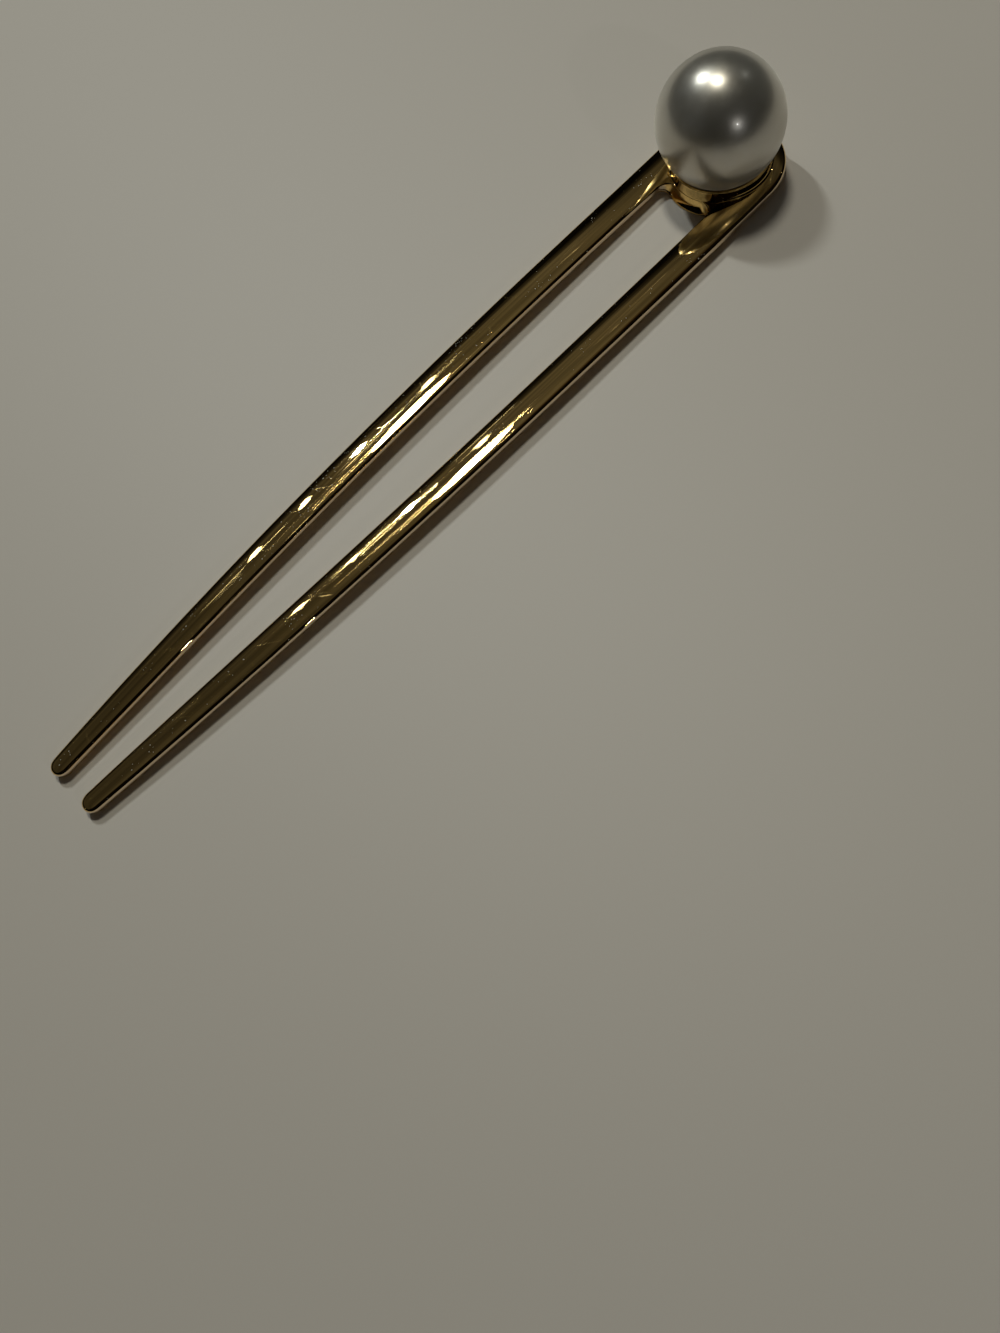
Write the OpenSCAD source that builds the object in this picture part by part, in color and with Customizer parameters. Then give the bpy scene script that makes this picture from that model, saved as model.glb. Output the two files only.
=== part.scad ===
// Hair fork: two tines and a round crown, cast as one piece of metal and gold plated,
// with one large pearl glued into a shallow cup on the crown.
// It lies as it does on a table: z = 0 is the table and the origin is under the pearl.
// +X runs along the tines to their tips, and +Z points up through the pearl.

/* [Pearl] */
// Diameter of the pearl
pearl_d = 16; // [14:0.5:18]
// Diameter of the hole drilled into the pearl from below
hole_d = 2; // [1.4:0.1:3]
// Depth of that hole
hole_depth = 5.5; // [3:0.5:7]
// Glue gap between the pearl and the metal
glue_gap = 0.08; // [0.05:0.01:0.12]

/* [Crown] */
// How far the bend of the hairpin stands out past the pearl
bend_margin = 0.15; // [0:0.05:1]
// How far the bottom of the pearl lies above the table
pearl_foot_z = 0.65; // [0.5:0.05:1]
// Height of the lip of the cup above the table
lip_z = 3.2; // [2.8:0.05:3.8]
// Thickness of that lip
lip_t = 0.4; // [0.2:0.05:0.5]
// How much wider the wall of the crown is at its foot than at the lip, on each side
cup_flare = 0.85; // [0.6:0.05:1]
// Height of the foot of that wall above the table
cup_foot_z = 0.15; // [0.1:0.05:0.4]

/* [Tines] */
// Length from the axis of the pearl to the tips
tine_len = 111.3; // [90:0.1:130]
// Width of a tine where it leaves the crown
tine_w = 4.25; // [3.4:0.05:4.6]
// How much of that width is lost evenly on the way to the tip
tine_taper = 0.8; // [0:0.05:1.1]
// How much more of the width is lost close to the tip
tip_draw = 1; // [0:0.05:1.1]
// Distance between the outer edges of the two tips
tip_span = 8.7; // [7.8:0.1:12]
// Thickness of the tines at their tips
tine_t = 1.75; // [1.6:0.05:2.2]
// Thickness of the tines where they leave the crown
root_t = 2.05; // [1.8:0.05:2.3]
// Radius across the domed top face
face_radius = 7; // [6:0.5:30]
// Height of the rounded belly, from the underside to the widest place
belly_h = 1.15; // [0.8:0.05:1.3]
// How high the tines arch off the table between the crown and the tips
arch_rise = 0.65; // [0:0.05:2]
// Radius of the rounded edges of the top face
edge_r = 0.3; // [0.15:0.05:0.5]
// Radius of the fillets where the tines leave the crown
root_fillet = 1.6; // [0.8:0.1:2]

/* [Hidden] */
pearl_r = pearl_d / 2;
pearl_z = pearl_foot_z + pearl_r;
bend_r = pearl_r + bend_margin;

// The cup holds the pearl at its lip, where a level cut through the pearl has this radius
pearl_r_at_lip = sqrt(pow(pearl_r, 2) - pow(pearl_z - lip_z, 2));
lip_r = pearl_r_at_lip + glue_gap + lip_t;
foot_r = lip_r + cup_flare;

// The peg rises from the metal under the dish, into the pearl's hole, and stops short of its end
peg_r = hole_d / 2 - glue_gap;
peg_start_z = pearl_foot_z / 2;
peg_end_gap = 0.3;

// The hairpin lies a hair above the crown's underside, so that their faces cross cleanly
root_inset = 0.05;
span = tine_len - foot_r;
arch_ease = 4;
tip_r = (tine_w - tine_taper - tip_draw) / 2;

// A higher power keeps a tine's edge straight for longer, and then bends it in more sharply
outer_power = 2.7;
draw_power = 6;

// The largest part of a half-width or of the height that is left that a rounded edge may take up
most_round = 0.9;
// The part of a half-width that the belly's rounding takes up
belly_share = 0.62;

// A higher power keeps the wall of the crown upright for longer, and then flares it more sharply
flare_power = 3;

// The fillets in the gap lie between these heights, where the sides of the tines are upright
web_low_z = 0.6;
web_high_z = 1.5;
web_depth = 0.4;

// How finely the tines and the crown are drawn
tine_rings = 36;
belly_steps = 5;
face_steps = 6;
tip_step = 15;
bend_step = 15;
arc_steps = 3;
wall_steps = 8;
smooth = 96;

// Part of the way from the pearl's axis (0) to the tip (1)
function way(x) = x / tine_len;

// Outer edge of a tine: it runs straight from the crown and bends in more and more towards the tip
function outer_y(x) = bend_r - (bend_r - tip_span / 2) * pow(way(x), outer_power);

// Width of a tine before its end is rounded
function full_width(x) = tine_w - tine_taper * way(x) - tip_draw * pow(way(x), draw_power);

// Height of a quarter circle of radius r that comes down at the tip, or r before it starts
function round_off(x, r) =
    let (past = max(0, x - (tine_len - r)))
    sqrt(max(0, r * r - past * past));

function centre_y(x) = outer_y(x) - full_width(x) / 2;
function half_width(x) = full_width(x) / 2 * round_off(x, tip_r) / tip_r;

// Height of the underside: flat under the crown, then a parabola that starts softly and comes down
// at the tip, where the belly rises
function arch_z(x) =
    let (past = max(0, x - foot_r))
    let (eased = past * past / (past + arch_ease) * (span + arch_ease) / span)
    root_inset * (1 - way(x)) + arch_rise * (1 - pow(2 * eased / span - 1, 2));
function low_z(x) =
    let (tip_belly = belly_share * tip_r)
    arch_z(x) + belly_h * (1 - round_off(x, tip_belly) / tip_belly);

// Height of the crest of the top face, which is rounded off at the tip
function top_z(x) =
    let (back = 1 - max(0, x - foot_r) / span)
    arch_z(x) + tine_t + (root_t - root_inset - tine_t) * back * back + round_off(x, edge_r) - edge_r;

// Points on an arc, from one angle to another
function arc(centre, r, from, to, steps) =
    [for (k = [0 : steps]) let (a = from + (to - from) * k / steps) centre + r * [cos(a), sin(a)]];

// How far the round top face has sunk at a distance q from its crest
function sunk(q) = face_radius - sqrt(face_radius * face_radius - q * q);

// Cross-section as [outwards, up] for a half-width w, from a low to a top height: a domed face with
// round edges over a belly, whose sides are quarters of an ellipse
function section(w, low, top) =
    let (r = min(edge_r, most_round * w), edge_z = top - sunk(w - r) - r)
    let (belly_w = belly_share * w, belly = min(belly_h, most_round * (edge_z - low)))
    let (side = concat(
        [for (p = arc([0, 0], 1, -90, 0, belly_steps))
            [w - belly_w + belly_w * p[0], low + belly + belly * p[1]]],
        arc([w - r, edge_z], r, 0, 90, arc_steps)))
    concat(
        side,
        [for (k = [1 : face_steps - 1]) let (q = (w - r) * (1 - 2 * k / face_steps)) [q, top - sunk(q)]],
        [for (k = [len(side) - 1 : -1 : 0]) [-side[k][0], side[k][1]]]);

// Places of the cross-sections along a tine: even steps, then closer ones round the tip
tine_places = concat(
    [for (k = [0 : tine_rings]) k * (tine_len - tip_r) / tine_rings],
    [for (a = [tip_step : tip_step : 90 - tip_step]) tine_len - tip_r + tip_r * sin(a)],
    [tine_len - tip_r + tip_r * sin(90 - tip_step / 2)]);

// The whole way as [along, turn]: in along the -Y tine, round the bend, and out along the +Y tine.
// A place with a turn of 180 lies on the -Y tine, and its distance along counts backwards
hairpin_places = concat(
    [for (k = [len(tine_places) - 1 : -1 : 0]) [-tine_places[k], 180]],
    [for (turn = [180 - bend_step : -bend_step : bend_step]) [0, turn]],
    [for (x = tine_places) [x, 0]]);

// Triangles of a sweep through rings of n points each, with a flat face at each end
function skin(rings, n) = concat(
    [for (i = [0 : rings - 2], j = [0 : n - 1]) [i * n + j, (i + 1) * n + j, i * n + (j + 1) % n]],
    [for (i = [0 : rings - 2], j = [0 : n - 1])
        [i * n + (j + 1) % n, (i + 1) * n + j, (i + 1) * n + (j + 1) % n]],
    [[for (j = [0 : n - 1]) j]],
    [[for (j = [n - 1 : -1 : 0]) (rings - 1) * n + j]]);

// The hairpin: both tines and the bend that joins them
module hairpin() {
    points = [for (place = hairpin_places)
        let (along = place[0], turn = place[1], x = abs(along))
        for (p = section(half_width(x), low_z(x), top_z(x)))
            let (y = centre_y(x) + p[0])
            [along * cos(turn) - y * sin(turn), along * sin(turn) + y * cos(turn), p[1]]];
    polyhedron(points, skin(len(hairpin_places), len(section(1, 0, 2))), convexity = 6);
}

// Radius of the crown's wall at a height: nearly upright under the lip, and flared at the foot
function wall_r(z) = lip_r + cup_flare * pow((lip_z - z) / (lip_z - cup_foot_z), flare_power);

// The crown: a round block that fills the bend, up to the lip of the cup
module crown() {
    rise = (lip_z - cup_foot_z) / wall_steps;
    rotate_extrude($fn = smooth)
        polygon(concat(
            [[0, 0]],
            arc([foot_r - cup_foot_z, cup_foot_z], cup_foot_z, -90, 0, arc_steps),
            [for (k = [1 : wall_steps]) [wall_r(cup_foot_z + k * rise), cup_foot_z + k * rise]],
            [[0, lip_z]]));
}

// Fillet in the gap, where the +Y tine leaves the crown. It reaches into both
module root_web() {
    inner_y = bend_r - tine_w;
    crown_r = wall_r(web_high_z);
    y = inner_y - root_fillet;
    x = sqrt(pow(crown_r + root_fillet, 2) - y * y);
    in_tine_y = inner_y + tine_w / 4;
    in_crown_r = crown_r - web_depth;
    translate([0, 0, web_low_z])
        linear_extrude(height = web_high_z - web_low_z)
            polygon(concat(
                [[x, in_tine_y], [crown_r / 2, in_tine_y]],
                [[x, y] * in_crown_r / (crown_r + root_fillet)],
                arc([x, y], root_fillet, 180 + atan2(y, x), 90, 2 * arc_steps)));
}

// The casting: the hairpin, the crown with the pearl's dish cut into it, and the peg in the dish
module fork() {
    color([0.80, 0.64, 0.30]) {
        difference() {
            union() {
                hairpin();
                crown();
                for (side = [0, 1]) mirror([0, side, 0]) root_web();
            }
            translate([0, 0, pearl_z]) sphere(r = pearl_r + glue_gap, $fn = smooth);
        }
        translate([0, 0, peg_start_z])
            cylinder(r = peg_r, h = pearl_foot_z + hole_depth - peg_end_gap - peg_start_z, $fn = smooth / 2);
    }
}

// The pearl: a round bead, drilled from below but not through
module pearl() {
    color([0.90, 0.89, 0.85])
        difference() {
            translate([0, 0, pearl_z]) sphere(r = pearl_r, $fn = smooth);
            cylinder(d = hole_d, h = pearl_foot_z + hole_depth, $fn = smooth / 2);
        }
}

fork();
pearl();
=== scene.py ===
"""Looks of a hair fork: a gold-plated casting with two arched tines and a round crown, and one pearl.

Shapes are worked out in millimetres and go into the meshes in metres.
"""

import bmesh
import bpy
import numpy as np
from mathutils import Matrix, Vector


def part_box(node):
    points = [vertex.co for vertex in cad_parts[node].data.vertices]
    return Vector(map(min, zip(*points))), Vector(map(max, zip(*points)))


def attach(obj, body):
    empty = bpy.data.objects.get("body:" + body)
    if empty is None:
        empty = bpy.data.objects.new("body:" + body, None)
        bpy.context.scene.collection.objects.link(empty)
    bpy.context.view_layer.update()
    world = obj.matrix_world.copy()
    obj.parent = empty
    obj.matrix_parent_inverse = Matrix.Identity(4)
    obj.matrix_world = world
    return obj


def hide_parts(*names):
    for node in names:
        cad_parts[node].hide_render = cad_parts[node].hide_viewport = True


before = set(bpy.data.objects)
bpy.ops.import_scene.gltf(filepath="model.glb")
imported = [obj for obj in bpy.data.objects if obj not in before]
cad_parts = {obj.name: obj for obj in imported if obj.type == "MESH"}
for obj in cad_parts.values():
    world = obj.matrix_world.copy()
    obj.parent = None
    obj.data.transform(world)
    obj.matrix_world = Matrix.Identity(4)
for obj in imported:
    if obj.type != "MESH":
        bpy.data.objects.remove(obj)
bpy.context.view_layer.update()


# Fork casting. The real piece is one zinc casting: two flat tines, the bend that joins them, and a
# round crown that fills the bend and ends in the thin lip of a cup. It is tumbled and polished until
# every edge is soft, and then plated with gold.
MM = 0.001
tip_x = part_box("fork")[1][0] / MM
bend_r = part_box("fork")[1][1] / MM
pearl_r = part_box("pearl")[1][0] / MM
pearl_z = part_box("pearl")[1][2] / MM - pearl_r

tine_w = 4.25            # width of a tine at the crown
tine_taper = 0.8         # width lost evenly on the way to the tip
tip_draw = 1.0           # width lost close to the tip
tip_span = 8.7           # distance between the outer edges of the two tips
outer_power = 2.7        # how late the outer edge bends in
draw_power = 6           # how late the tip is drawn in
tine_t = 1.75            # thickness at the tips
crown_t = 2.05           # thickness at the crown
arch_rise = 0.65         # height of the arch between the crown and the tips
arch_ease = 4.0          # length over which the arch starts
face_radius = 7.0        # radius across the domed face of a tine
edge_round = 0.3         # rounding of the top edges
tip_edge_round = 0.42    # the same at the tips
tip_round_power = 6      # how late the rounding grows to that
most_round = 0.45        # largest part of the way to the crown's wall that a rounding takes up
belly_share = 0.62       # part of the half-width that the rounded belly takes up
belly_h = 1.15           # height of the rounded belly

root_fillet = 1.6        # fillet in plan between the crown and a tine
root_x = 9.0             # place just past that fillet, where the inner edge is read for it
lip_z = 3.2              # top of the cup
lip_w = 0.4              # width of its lip
lip_round = 0.08         # rounding of the lip's edges
cup_flare = 0.85         # how far the wall stands out at its foot
cup_foot_z = 0.15        # height and rounding of that foot
flare_power = 3          # how late the wall flares
face_fillet = 0.3        # fillet between the wall and the face
glue_gap = 0.08          # gap between the metal and the pearl
peg_r = 0.92             # peg that stands in the pearl
peg_top = 5.85
peg_chamfer = 0.2

lip_outer_r = np.sqrt(pearl_r**2 - (pearl_z - lip_z) ** 2) + glue_gap + lip_w
lip_inner_r = np.sqrt((pearl_r + glue_gap) ** 2 - (pearl_z - lip_z) ** 2)


def wall_r(z):
    """Radius of the crown's wall at a height: the lip's, and a power of the way down to the foot."""
    return lip_outer_r + cup_flare * ((lip_z - z) / (lip_z - cup_foot_z)) ** flare_power


foot_r = wall_r(cup_foot_z)


def turn(angle, radius=1.0):
    """Points on a circle round the origin, at angles in degrees."""
    a = np.radians(angle)
    return np.stack([radius * np.cos(a), radius * np.sin(a)], -1)


def smooth_step(t):
    """Smooth rise from 0 to 1 as t goes from 0 to 1."""
    t = np.clip(t, 0, 1)
    return t * t * (3 - 2 * t)


def tine_width(x):
    """Width of a tine: an even taper, and a power of x that draws the tip in."""
    way = x / tip_x
    return tine_w - tine_taper * way - tip_draw * way**draw_power


def outer_edge(x):
    """Outer edge of the +Y tine: straight at the crown, and bending in as a power of x."""
    return bend_r - (bend_r - tip_span / 2) * np.clip(x / tip_x, 0, None) ** outer_power


def middle(x):
    """Middle line of the +Y tine."""
    return outer_edge(x) - tine_width(x) / 2


def normals(points):
    """Unit normals along an open line of plan points, on its right."""
    along = np.gradient(points, axis=0)
    along /= np.linalg.norm(along, axis=1, keepdims=True)
    return np.stack([along[:, 1], -along[:, 0]], -1)


def underside(x):
    """Height of the underside: flat under the crown, then a parabola that comes down at the tip. The
    distance past the crown is squared and divided by itself plus the ease, for a soft start."""
    span = tip_x - foot_r
    past = np.clip(x - foot_r, 0, span)
    eased = past**2 / (past + arch_ease) * (span + arch_ease) / span
    return arch_rise * (1 - (2 * eased / span - 1) ** 2)


def face_height(plan):
    """Height of the domed face above the underside at plan places. Its crest runs along the middle of
    the tine, up to half a width before the tip, and round the bend, and gets thicker towards the crown
    as a square. Away from the crest the face falls off on a circle."""
    x, y = plan[..., 0], plan[..., 1]
    tip_centre_x = tip_x - tine_width(tip_x) / 2
    aside = np.where(x < 0, np.hypot(x, y) - middle(0), np.abs(y) - middle(x))
    off = np.hypot(aside, np.clip(x - tip_centre_x, 0, None))
    off = np.minimum(off, tine_width(np.clip(x, 0, tip_x)) / 2)
    back = 1 - np.clip((x - foot_r) / (tip_x - foot_r), 0, 1)
    return tine_t + (crown_t - tine_t) * back**2 - (face_radius - np.sqrt(face_radius**2 - off**2))


def half_outline():
    """The +Y half of the outline in plan, from the back of the bend out along the tine, round its tip
    and back to the middle of the gap. Each row has a point, its inward normal, the place inside that
    the face runs to, whether that place is the foot of the crown's wall, and how far the row's side is
    that wall itself instead of a tine's."""
    bend_rows, crown_rows, root_rows = 61, 9, 19
    tine_rows, tip_rows, fillet_rows, gap_rows = 190, 26, 37, 9
    face_r = wall_r(crown_t - (face_radius - np.sqrt(face_radius**2 - tine_w**2 / 4)))
    contact_x = np.sqrt((face_r + face_fillet) ** 2 - middle(0) ** 2)
    contact_turn = np.degrees(np.arctan2(middle(contact_x), contact_x))
    fillet_y = outer_edge(root_x) - tine_width(root_x) - root_fillet
    fillet_x = np.sqrt((face_r + root_fillet) ** 2 - fillet_y**2)
    fillet_turn = np.degrees(np.arctan2(fillet_y, fillet_x))
    tip_r = tine_width(tip_x) / 2

    crown_x = np.linspace(0, contact_x, crown_rows)[1:]
    root_places = np.linspace(contact_x, fillet_x, root_rows)
    tine_places = np.linspace(fillet_x, tip_x - tip_r, tine_rows)
    bend = turn(np.linspace(180, 90, bend_rows), bend_r)
    crown_side = np.concatenate([bend, np.stack([crown_x, outer_edge(crown_x)], -1)])
    out_x = np.concatenate([root_places[1:], tine_places[1:]])
    in_x = tine_places[::-1]
    outer = np.stack([out_x, outer_edge(out_x)], -1)
    inner = np.stack([in_x, outer_edge(in_x) - tine_width(in_x)], -1)
    out_normal, in_normal = normals(outer), normals(inner)

    tip_centre = np.array([tip_x - tip_r, middle(tip_x - tip_r)])
    tip_from = np.degrees(np.arctan2(-out_normal[-1, 1], -out_normal[-1, 0]))
    tip_to = np.degrees(np.arctan2(-in_normal[0, 1], -in_normal[0, 0]))
    tip = turn(np.linspace(tip_from, tip_to, tip_rows)[1:-1])
    fillet = turn(np.linspace(90, 180 + fillet_turn, fillet_rows)[1:])
    fillet_points = np.array([fillet_x, fillet_y]) + fillet * root_fillet
    gap = turn(np.linspace(fillet_turn, 0, gap_rows)[1:])

    # The rows of the crown's side lean forwards, so that the last one meets the middle of the tine
    to_wall = np.degrees(np.arctan2(crown_side[:, 1], crown_side[:, 0]))
    to_wall -= np.clip(crown_side[:, 0] / contact_x, 0, 1) ** 2 * (to_wall[-1] - contact_turn)

    # The face of the fillet's first rows still runs to the middle of the tine, and then to the wall
    on_tine = root_rows - 1
    clear = np.linalg.norm(fillet_points[on_tine:], axis=1) - face_r
    small_fillet = np.minimum(face_fillet, most_round * clear)
    wall_turn = np.linspace(contact_turn, fillet_turn, fillet_rows - on_tine)[1:]
    fillet_wall = turn(wall_turn) * (face_r + small_fillet)[:, None]

    points = [crown_side, outer, tip_centre + tip * tip_r, inner, fillet_points, gap * face_r]
    inwards = [normals(crown_side), out_normal, -tip, in_normal, fillet, -gap]
    targets = [turn(to_wall, face_r + face_fillet), np.stack([out_x, middle(out_x)], -1),
               np.tile(tip_centre, (len(tip), 1)), np.stack([in_x, middle(in_x)], -1),
               np.stack([root_places[-2::-1], middle(root_places[-2::-1])], -1), fillet_wall, gap * face_r]
    at_wall = np.repeat([True, False, False, False, False, True, True], [len(a) for a in targets])
    wall_share = np.zeros(len(at_wall))
    wall_share[-len(gap):] = 1
    wall_share[-len(gap) - len(fillet):-len(gap)] = smooth_step(np.linspace(0, 1, len(fillet) + 1)[1:])
    return np.concatenate(points), np.concatenate(inwards), np.concatenate(targets), at_wall, wall_share


def both_sides(half, mirror=False):
    """A closed loop of rows from the +Y half: the half itself, and then its mirror image backwards."""
    other = half[-2:0:-1].copy()
    if mirror:
        other[:, 1] *= -1
    return np.concatenate([half, other])


def plate(round_steps=14, face_steps=12, side_steps=12):
    """Surface of the tines and the bend as a grid of outline rows and section columns, and the rows
    that end at the foot of the crown's wall. A section starts inside on the underside, runs out to the
    outline, round the belly, up the side, round the top edge, and in over the face. Where a row is wall
    of the crown, its belly is the rounding of the crown's foot, and its side is the flare."""
    points, inwards, targets, at_wall, wall_share = half_outline()
    points, inwards, targets = (both_sides(a, True) for a in (points, inwards, targets))
    at_wall = both_sides(at_wall)
    wall_share = both_sides(wall_share)[:, None]
    half_w = tine_width(np.clip(points[:, :1], 0, tip_x)) / 2
    quarter = np.linspace(0, np.pi / 2, round_steps)[None, :]
    flat = np.linspace(0, 1, face_steps + 1)[1:][None, :]

    def inside(depth):
        """Plan places at depths inwards from the outline, and then on to the target in even steps."""
        edge = points[:, None] + inwards[:, None] * depth[..., None]
        rest = edge[:, -1:] + (targets[:, None] - edge[:, -1:]) * flat[..., None]
        return np.concatenate([edge, rest], 1)

    face_r = np.linalg.norm(points[len(points) // 2])
    belly_depth = belly_share * half_w * (1 - np.cos(quarter))
    foot_depth = cup_foot_z * (1 - np.cos(quarter)) - (foot_r - face_r)
    low_plan = inside(belly_depth + (foot_depth - belly_depth) * wall_share)
    low_z = (belly_h + (cup_foot_z - belly_h) * wall_share) * (1 - np.sin(quarter))
    low_z = np.concatenate([low_z, np.zeros((len(points), face_steps))], 1)

    way = np.clip(points[:, :1] / tip_x, 0, 1)
    rounding = edge_round + (tip_edge_round - edge_round) * way**tip_round_power
    clear = np.linalg.norm(points, axis=1)[:, None] - face_r
    rounding = np.minimum(rounding, most_round * np.clip(clear, 0, None))
    top_plan = inside(rounding * (1 - np.cos(quarter)))
    top_z = face_height(top_plan)
    top_z[:, :round_steps] -= rounding * (1 - np.sin(quarter))

    up = np.linspace(0, 1, side_steps + 2)[None, 1:-1]
    side_z = low_z[:, :1] + (top_z[:, :1] - low_z[:, :1]) * up
    side_depth = -(wall_r(side_z) - face_r) * wall_share
    side_plan = points[:, None] + inwards[:, None] * side_depth[..., None]

    plan = np.concatenate([low_plan[:, ::-1], side_plan, top_plan], 1)
    z = np.concatenate([low_z[:, ::-1], side_z, top_z], 1) + underside(plan[..., 0])
    return np.concatenate([plan, z[..., None]], -1), at_wall


def arc(centre, radius, start, end, steps):
    """Points on an arc in the plane of radius and height, from one angle to another in degrees."""
    return np.array(centre) + turn(np.linspace(start, end, steps), radius)


def lathe(profile, turns):
    """Surface of revolution about Z: a grid of turns in degrees and profile points (radius, height).
    The profile is one for all turns, or one for each."""
    a = np.radians(turns)[:, None]
    profile = np.broadcast_to(profile, (len(turns), *profile.shape[-2:]))
    radius, z = profile[..., 0], profile[..., 1]
    return np.stack([radius * np.cos(a), radius * np.sin(a), z], -1)


def cup(ring, fillet_steps=10, wall_steps=13, lip_steps=7, dish_steps=24):
    """Upper part of the crown, from the ring where the face meets its wall: a fillet, the wall, the
    rounded lip, and the dish that follows the pearl to the peg. Each place of the ring gives the turn
    and the height that its profile starts with, and how wide its fillet is."""
    turns = np.degrees(np.arctan2(ring[:, 1], ring[:, 0]))
    start_r = np.linalg.norm(ring[:, :2], axis=1)[:, None]
    start_z = ring[:, 2:]
    fillet = np.clip(start_r - wall_r(start_z), 0, None)
    a = np.linspace(0, np.pi / 2, fillet_steps)[None, :]
    fillet_z = start_z + fillet * (1 - np.cos(a))
    fillet_r = start_r + (wall_r(start_z + fillet) - start_r) * np.sin(a)
    up = np.linspace(0, 1, wall_steps)[None, 1:]
    wall_z = start_z + fillet + (lip_z - lip_round - start_z - fillet) * up
    foot = np.stack([np.concatenate([fillet_r, wall_r(wall_z)], 1),
                     np.concatenate([fillet_z, wall_z], 1)], -1)
    outer_lip = arc((lip_outer_r - lip_round, lip_z - lip_round), lip_round, 0, 90, lip_steps)[1:]
    inner_lip = arc((lip_inner_r + lip_round, lip_z - lip_round), lip_round, 90, 180, lip_steps)
    dish_r = pearl_r + glue_gap
    rim = np.degrees(np.arctan2(inner_lip[-1, 1] - pearl_z, inner_lip[-1, 0]))
    below_rim = 1            # degrees
    dish_end = -np.degrees(np.arccos(peg_r / dish_r))
    dish = arc((0, pearl_z), dish_r, rim - below_rim, dish_end, dish_steps)
    peg = np.array([[peg_r, peg_top - peg_chamfer], [peg_r - peg_chamfer, peg_top], [0, peg_top]])
    rest = np.concatenate([outer_lip, inner_lip, dish, peg])
    rest = np.broadcast_to(rest, (len(turns), *rest.shape))
    return lathe(np.concatenate([foot, rest], 1), turns)


def grid_faces(rows, columns, start):
    """Quads of a grid of that many rows and columns, whose last row joins the first."""
    i = np.arange(rows)[:, None]
    j = np.arange(columns - 1)[None, :]
    here = i * columns + j
    ahead = ((i + 1) % rows) * columns + j
    quads = np.stack([here, ahead, ahead + 1, here + 1], -1)
    return quads.reshape(-1, 4) + start


def under_disc(ring, steps=9):
    """Flat underside of the crown, from the ring where the sections end to the middle."""
    return ring[:, None] * np.linspace(1, 0, steps)[None, :, None]


def make_piece(name, grids):
    """One closed, smooth mesh from grids of places in mm, each closed along its rows. Rows and poles
    that meet are merged, and the faces are turned outwards."""
    merge_within, no_length = 0.5e-6, 1e-8      # metres
    places, faces, start = [], [], 0
    for grid in grids:
        rows, columns = grid.shape[:2]
        places.append(grid.reshape(-1, 3))
        faces.append(grid_faces(rows, columns, start))
        start += rows * columns
    mesh = bpy.data.meshes.new(name)
    mesh.from_pydata((np.concatenate(places) * MM).tolist(), [], np.concatenate(faces).tolist())
    work = bmesh.new()
    work.from_mesh(mesh)
    bmesh.ops.remove_doubles(work, verts=work.verts, dist=merge_within)
    bmesh.ops.dissolve_degenerate(work, edges=work.edges, dist=no_length)
    bmesh.ops.recalc_face_normals(work, faces=work.faces)
    work.to_mesh(mesh)
    work.free()
    mesh.polygons.foreach_set("use_smooth", np.ones(len(mesh.polygons), bool))
    mesh.update()
    piece = bpy.data.objects.new(name, mesh)
    bpy.context.scene.collection.objects.link(piece)
    return piece


plate_grid, at_wall = plate()
casting = make_piece("fork_casting", [
    plate_grid, cup(plate_grid[at_wall, -1]), under_disc(plate_grid[at_wall, 0])])


def straightened(place):
    """Places on the tines and the bend as if these were one straight bar: the distance along the bar
    from the back of the bend, across it from its middle line, and up from its underside. Places on the
    crown inside the bend keep their own."""
    x, y, z = place.T
    quarter = np.arctan2(np.abs(y), -np.minimum(x, 0)) * middle(0)
    along = np.sign(y) * (quarter + np.maximum(x, 0))
    across = np.hypot(np.minimum(x, 0), y) - middle(np.maximum(x, 0))
    bar = np.stack([along, across, z - underside(x)], -1)
    return np.where(np.hypot(x, y)[:, None] < wall_r(crown_t - face_fillet), place, bar)


places = np.empty(len(casting.data.vertices) * 3)
casting.data.vertices.foreach_get("co", places)
straight = casting.data.attributes.new("straight", "FLOAT_VECTOR", "POINT")
straight.data.foreach_set("vector", straightened(places.reshape(-1, 3) / MM).ravel() * MM)


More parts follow.
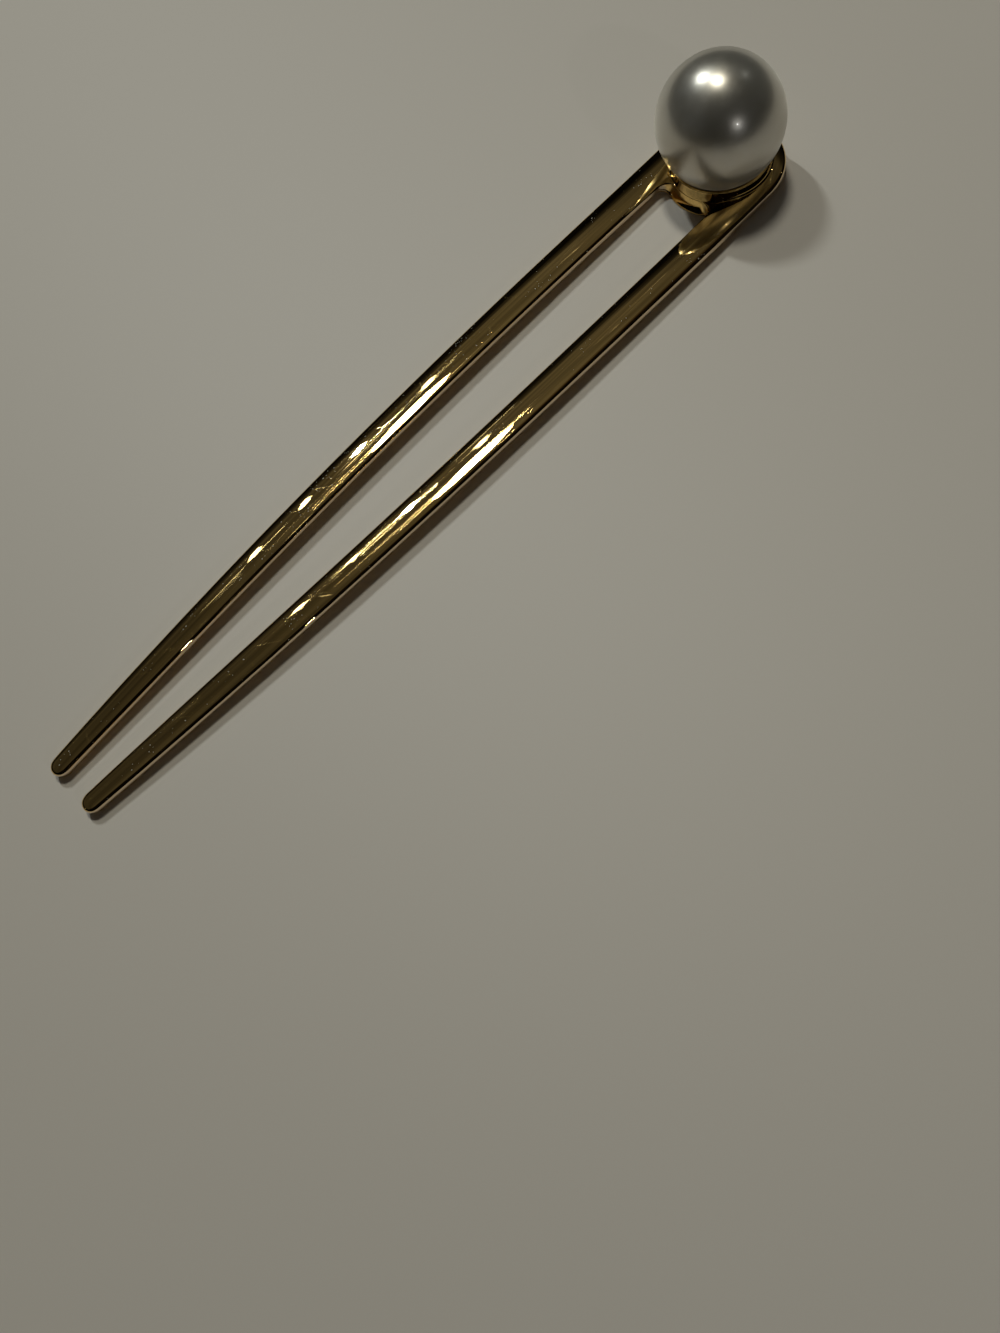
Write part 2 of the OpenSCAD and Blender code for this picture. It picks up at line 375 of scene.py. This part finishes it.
class Nodes:
    """Adds nodes to a material and joins them. Most calls return the new node's output."""

    def __init__(self, name):
        self.material = bpy.data.materials.new(name)
        self.material.use_nodes = True
        self.tree = self.material.node_tree
        self.shader = self.tree.nodes["Principled BSDF"]
        coordinates = self.tree.nodes.new("ShaderNodeTexCoord")
        self.place = coordinates.outputs["Object"]
        self.facing = coordinates.outputs["Normal"]

    def fill(self, node, values):
        """Sets the inputs of a node, to numbers or colours, or to sockets that are joined to them."""
        for name, value in values.items():
            if isinstance(value, bpy.types.NodeSocket):
                self.tree.links.new(value, node.inputs[name])
            else:
                node.inputs[name].default_value = value

    def add(self, kind, values, **settings):
        """A node of a kind, with its inputs and its settings."""
        node = self.tree.nodes.new("ShaderNode" + kind)
        for name, value in settings.items():
            setattr(node, name, value)
        self.fill(node, values)
        return node.outputs[0]

    def mixed(self, share, colour, other):
        """A colour that turns into another as the share goes from 0 to 1."""
        return self.add("MixRGB", {0: share, 1: colour, 2: other})

    def attribute(self, name):
        """A vector that is stored on the mesh."""
        node = self.tree.nodes.new("ShaderNodeAttribute")
        node.attribute_name = name
        return node.outputs["Vector"]

    def stretched(self, scale, turned=0.0):
        """The place on the piece in millimetres, turned about Z in degrees and scaled along each axis."""
        in_mm = self.add("Mapping", {"Vector": self.place, "Rotation": (0, 0, np.radians(turned))})
        return self.add("Mapping", {"Vector": in_mm, "Scale": [1000 * v for v in scale]})

    def noise(self, scale, detail=2.0, rough=0.5, turned=0.0):
        """Noise from 0 to 1, with its frequency per millimetre along each axis."""
        where = self.stretched(scale, turned)
        return self.add("TexNoise", {"Vector": where, "Scale": 1.0, "Detail": detail, "Roughness": rough})

    def between(self, value, low, high, to_low=0.0, to_high=1.0):
        """A value eased from one range into another, and held at its ends."""
        return self.add("MapRange", {0: value, 1: low, 2: high, 3: to_low, 4: to_high},
                        interpolation_type="SMOOTHSTEP")

    def math(self, what, a, b=0.0):
        """One operation on two values."""
        return self.add("Math", {0: a, 1: b}, operation=what)

    def part(self, vector, axis):
        """One part of a vector: X, Y or Z."""
        node = self.tree.nodes.new("ShaderNodeSeparateXYZ")
        self.tree.links.new(vector, node.inputs[0])
        return node.outputs[axis]

    def lines(self, scale, width, turned=0.0):
        """Thin lines, 1 on a line and 0 away from it, where a noise passes its middle value."""
        off = self.math("ABSOLUTE", self.math("SUBTRACT", self.noise(scale, 1.0, 0.5, turned), 0.5))
        return self.between(off, 0.0, width, 1.0, 0.0)

    def bump(self, height, distance, normal=None):
        """A bump whose full height is a distance in millimetres."""
        values = {"Height": height, "Distance": distance * MM}
        if normal:
            values["Normal"] = normal
        return self.add("Bump", values)


bright_gold = (1.0, 0.71, 0.28, 1)
deep_gold = (0.80, 0.56, 0.21, 1)
rubbed_gold = (0.90, 0.74, 0.53, 1)
dust_grey = (0.75, 0.73, 0.66, 1)
polished_rough, hazy_rough = 0.012, 0.08
scratch_rough, dust_rough = 0.25, 0.6
groove_depth, scratch_depth = 0.006, 0.0006     # mm
slant, cross_slant = 38, -62                    # turns of the slanted scratches, in degrees

# The marks follow the tines as one straight bar, and only the rubbed sides need the true place
gold = Nodes("gold_plating")
x, y = gold.part(gold.place, "X"), gold.part(gold.place, "Y")
gold.place = gold.attribute("straight")

# The polishing wheel has left fine grooves and thin streaks of haze along the tines, and use has left
# hairline scratches along them, a few slanted ones, and specks of dust
grooves = gold.noise((0.008, 3.6, 3.6), 2.0, 0.55)
hairlines = gold.lines((0.004, 3.5, 3.5), 0.010)
slanted = gold.lines((0.03, 0.8, 0), 0.0016, slant)
crossed = gold.lines((0.04, 0.7, 0), 0.0012, cross_slant)
worn = gold.between(gold.noise((0.06, 1.2, 1.2), 3.0), 0.52, 0.60)
slanted_here = gold.between(gold.noise((0.22, 0.9, 0), 1.0, 0.5, slant), 0.60, 0.62)
crossed_here = gold.between(gold.noise((0.25, 0.7, 0), 1.0, 0.5, cross_slant), 0.38, 0.36)
nicks = gold.math("MAXIMUM", gold.math("MULTIPLY", slanted, slanted_here),
                  gold.math("MULTIPLY", crossed, crossed_here))
marks = gold.math("MAXIMUM", gold.math("MULTIPLY", hairlines, worn), nicks)
haze = gold.between(gold.noise((0.012, 5, 5), 3.0, 0.6), 0.56, 0.70, polished_rough, hazy_rough)
specks_from = gold.between(gold.noise((0.15, 0.4, 0.4), 2.0), 0.40, 0.68, 0.88, 0.79)
dust = gold.between(gold.math("SUBTRACT", gold.noise((6, 6, 6), 0.0), specks_from), 0.0, 0.03)
rough = gold.math("MAXIMUM", haze, gold.math("MAXIMUM", gold.math("MULTIPLY", marks, scratch_rough),
                                             gold.math("MULTIPLY", dust, dust_rough)))
brushed = gold.bump(grooves, groove_depth)
scored = gold.bump(gold.math("SUBTRACT", 1.0, marks), scratch_depth, brushed)

# The plating varies a little along the streaks, and is rubbed paler on the sides that touch the table
# and the hand. The crown's wall, nearer to the pearl's axis, has kept its own
streaks = gold.between(gold.noise((0.02, 2.6, 2.6), 3.0, 0.6), 0.35, 0.65)
upwards = gold.part(gold.facing, "Z")
sides = gold.math("MULTIPLY", gold.between(upwards, -0.5, -0.2), gold.between(upwards, 0.3, 0.7, 1.0, 0.0))
from_axis = gold.math("SQRT", gold.math("ADD", gold.math("MULTIPLY", x, x), gold.math("MULTIPLY", y, y)))
rubbed = gold.math("MULTIPLY", sides, gold.between(from_axis, 7.2 * MM, 7.8 * MM))
metal = gold.mixed(rubbed, gold.mixed(streaks, deep_gold, bright_gold), rubbed_gold)
gold.fill(gold.shader, {
    "Base Color": gold.mixed(dust, metal, dust_grey),
    "Metallic": gold.math("SUBTRACT", 1.0, dust),
    "Roughness": rough,
    "Normal": scored})
casting.data.materials.append(gold.material)
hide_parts("fork")
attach(casting, "root")


# Pearl. An imitation pearl: a round plastic bead, drilled from below, dipped in many coats of pearl
# lacquer. It is glued onto the peg and sits in the cup.
hole_r = 1.0             # hole for the peg
hole_top = 6.15
profile_steps, turn_steps = 120, 240

hole_edge = -np.degrees(np.arccos(hole_r / pearl_r))
pearl_profile = np.concatenate([
    [[0, hole_top], [hole_r, hole_top]],
    arc((0, pearl_z), pearl_r, hole_edge, 90, profile_steps)])
pearl_profile[-1, 0] = 0
pearl = make_piece("pearl_bead", [lathe(pearl_profile, np.linspace(0, 360, turn_steps + 1)[:-1])])

pale_coat = (0.64, 0.62, 0.57, 1)
warm_coat = (0.59, 0.56, 0.49, 1)
glossy_rough, dull_rough = 0.31, 0.34
unevenness = 0.002       # mm

# The coats lie a little uneven, are worn dull in places, and have a sheen under the clear last coat
lacquer = Nodes("pearl_lacquer")
cloudy = lacquer.between(lacquer.noise((0.16, 0.16, 0.22), 3.0), 0.35, 0.65)
handled = lacquer.noise((0.5, 0.5, 0.5), 4.0, 0.6)
lacquer.fill(lacquer.shader, {
    "Base Color": lacquer.mixed(cloudy, pale_coat, warm_coat),
    "Metallic": 0.85,
    "Roughness": lacquer.between(handled, 0.40, 0.65, glossy_rough, dull_rough),
    "Normal": lacquer.bump(lacquer.noise((0.6, 0.6, 0.6), 1.0), unevenness),
    "Sheen Weight": 0.6,
    "Sheen Roughness": 0.5,
    "Sheen Tint": (1.0, 0.98, 0.88, 1),
    "Coat Weight": 0.5,
    "Coat Roughness": 0.085})
pearl.data.materials.append(lacquer.material)
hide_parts("pearl")
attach(pearl, "root")


# Floor, lamps and camera. The fork lies on a plain pale floor in a dim room with a few lamps, and
# the camera is a hand's breadth above it, near the tips.
floor_half = 1.5         # metres
floor_mesh = bpy.data.meshes.new("floor")
floor_mesh.from_pydata([(-floor_half, -floor_half, 0), (floor_half, -floor_half, 0),
                        (floor_half, floor_half, 0), (-floor_half, floor_half, 0)], [], [(0, 1, 2, 3)])
floor = bpy.data.objects.new("floor", floor_mesh)
bpy.context.scene.collection.objects.link(floor)
paper = Nodes("pale_paper")
paper.fill(paper.shader, {"Base Color": (0.70, 0.655, 0.59, 1), "Roughness": 0.55, "Specular IOR Level": 0.8})
floor_mesh.materials.append(paper.material)


def direction(azimuth, from_top):
    """Unit vector at an azimuth from +X towards +Y and an angle from straight up, in degrees."""
    a, t = np.radians(azimuth), np.radians(from_top)
    return Vector((np.sin(t) * np.cos(a), np.sin(t) * np.sin(a), np.cos(t)))


def lamp(name, azimuth, from_top, size, radiance, colour, distance=1.0):
    """A flat lamp that faces the middle of the fork from a direction, with its sizes in metres along
    the tines and across them. Its power is its radiance times pi times the area of its ellipse."""
    light = bpy.data.lights.new(name, "AREA")
    light.shape = "ELLIPSE"
    light.size, light.size_y = size
    light.energy = radiance * np.pi * np.pi / 4 * size[0] * size[1]
    light.color = colour
    lamp_object = bpy.data.objects.new(name, light)
    bpy.context.scene.collection.objects.link(lamp_object)
    way = direction(azimuth, from_top)
    across = way.cross(Vector((1, 0, 0))).normalized()
    along = across.cross(way)
    aim = Vector((tip_x / 2, 0, 2)) * MM
    turned = Matrix((along, across, way)).transposed().to_4x4()
    lamp_object.matrix_world = Matrix.Translation(aim + way * distance) @ turned


# The row of four ceiling spots, of which the second is strong, makes four bright glints on each tine
warm, cool, white = (1.0, 0.97, 0.84), (0.95, 1.0, 0.97), (1, 1, 1)
wide, narrow, small, tiny = (0.112, 0.180), (0.017, 0.130), (0.015, 0.015), (0.007, 0.007)
lamp("ceiling_lamp", -134.3, 21, wide, 42, warm)
lamp("ceiling_spot", -116.7, 38.4, narrow, 9, cool)
lamp("ceiling_spot", -106.6, 39.2, narrow, 315, cool)
lamp("ceiling_spot", -99.2, 39.6, narrow, 9, cool)
lamp("ceiling_spot", -92.5, 39.7, narrow, 9, cool)
lamp("lamp_behind", 177, 51, small, 60, cool)
lamp("lamp_near", 84.5, 59.1, tiny, 260, white, distance=0.378)
lamp("lamp_side", -23.5, 64, small, 20, cool)

room = bpy.data.worlds.new("dim_room")
bpy.context.scene.world = room
room.use_nodes = True
tree = room.node_tree
way_out = tree.nodes.new("ShaderNodeTexCoord").outputs["Generated"]


def towards(way):
    """How far a way out of the scene points in a direction, as a cosine."""
    dot = tree.nodes.new("ShaderNodeVectorMath")
    dot.operation = "DOT_PRODUCT"
    dot.inputs[1].default_value = way
    tree.links.new(way_out, dot.inputs[0])
    return dot.outputs["Value"]


def ramp(value, stops):
    """A value turned into a level or a colour by stops of (value, level)."""
    node = tree.nodes.new("ShaderNodeValToRGB")
    node.color_ramp.interpolation = "EASE"
    for at, _ in stops[1:-1]:
        node.color_ramp.elements.new(at)
    for element, (at, level) in zip(node.color_ramp.elements, stops):
        element.position = at
        element.color = (*np.broadcast_to(level, 3), 1)
    tree.links.new(value, node.inputs[0])
    return node.outputs[0]


def times(a, b):
    """Product of two levels."""
    node = tree.nodes.new("ShaderNodeMath")
    node.operation = "MULTIPLY"
    tree.links.new(a, node.inputs[0])
    tree.links.new(b, node.inputs[1])
    return node.outputs[0]


# The far half of the room glows in soft bands, from overhead down to about 40 degrees above the floor,
# and more so behind the crown. The near half, where the camera is, is dark
up_high = towards(direction(0, 0))
far_away = towards(direction(-90, 90))
past_crown = towards(direction(-170, 90))
evening, lamplight = (1, 0.66, 0.34), (1, 0.95, 0.82)
bands = ramp(up_high, ((0, 0.001), (0.54, 0.002), (0.64, 0.015), (0.71, 0.060), (0.75, 0.046),
                       (0.81, 0.054), (0.87, 0.042), (0.91, 0.06), (0.94, 0.07), (1, 0.05)))
far_half = ramp(far_away, ((0, 0.05), (0.12, 1), (1, 1)))
behind_crown = ramp(past_crown, ((0, 0.6), (0.3, 1.2), (0.5, 1.45), (0.6, 0.7), (1, 0.3)))
glow = ramp(far_away, ((0, evening), (0.12, lamplight), (1, lamplight)))
tree.links.new(times(times(bands, far_half), behind_crown), tree.nodes["Background"].inputs["Strength"])
tree.links.new(glow, tree.nodes["Background"].inputs["Color"])

camera_at = Vector((86.7, 76.2, 119.4)) * MM
camera_right = Vector((-0.6952, 0.6964, -0.1778))
camera_up = Vector((-0.7035, -0.6086, 0.3669))
photo_focal = 1169.7     # pixels
photo_long_side = 1333

lens = bpy.data.cameras.new("camera")
lens.sensor_width = 36
lens.lens = lens.sensor_width * photo_focal / photo_long_side
lens.clip_start = 0.01
camera = bpy.data.objects.new("camera", lens)
bpy.context.scene.collection.objects.link(camera)
back = camera_right.cross(camera_up).normalized()
up = back.cross(camera_right).normalized()
right = up.cross(back)
camera.matrix_world = Matrix.Translation(camera_at) @ Matrix((right, up, back)).transposed().to_4x4()
bpy.context.scene.camera = camera

bpy.context.scene.view_settings.view_transform = "Standard"
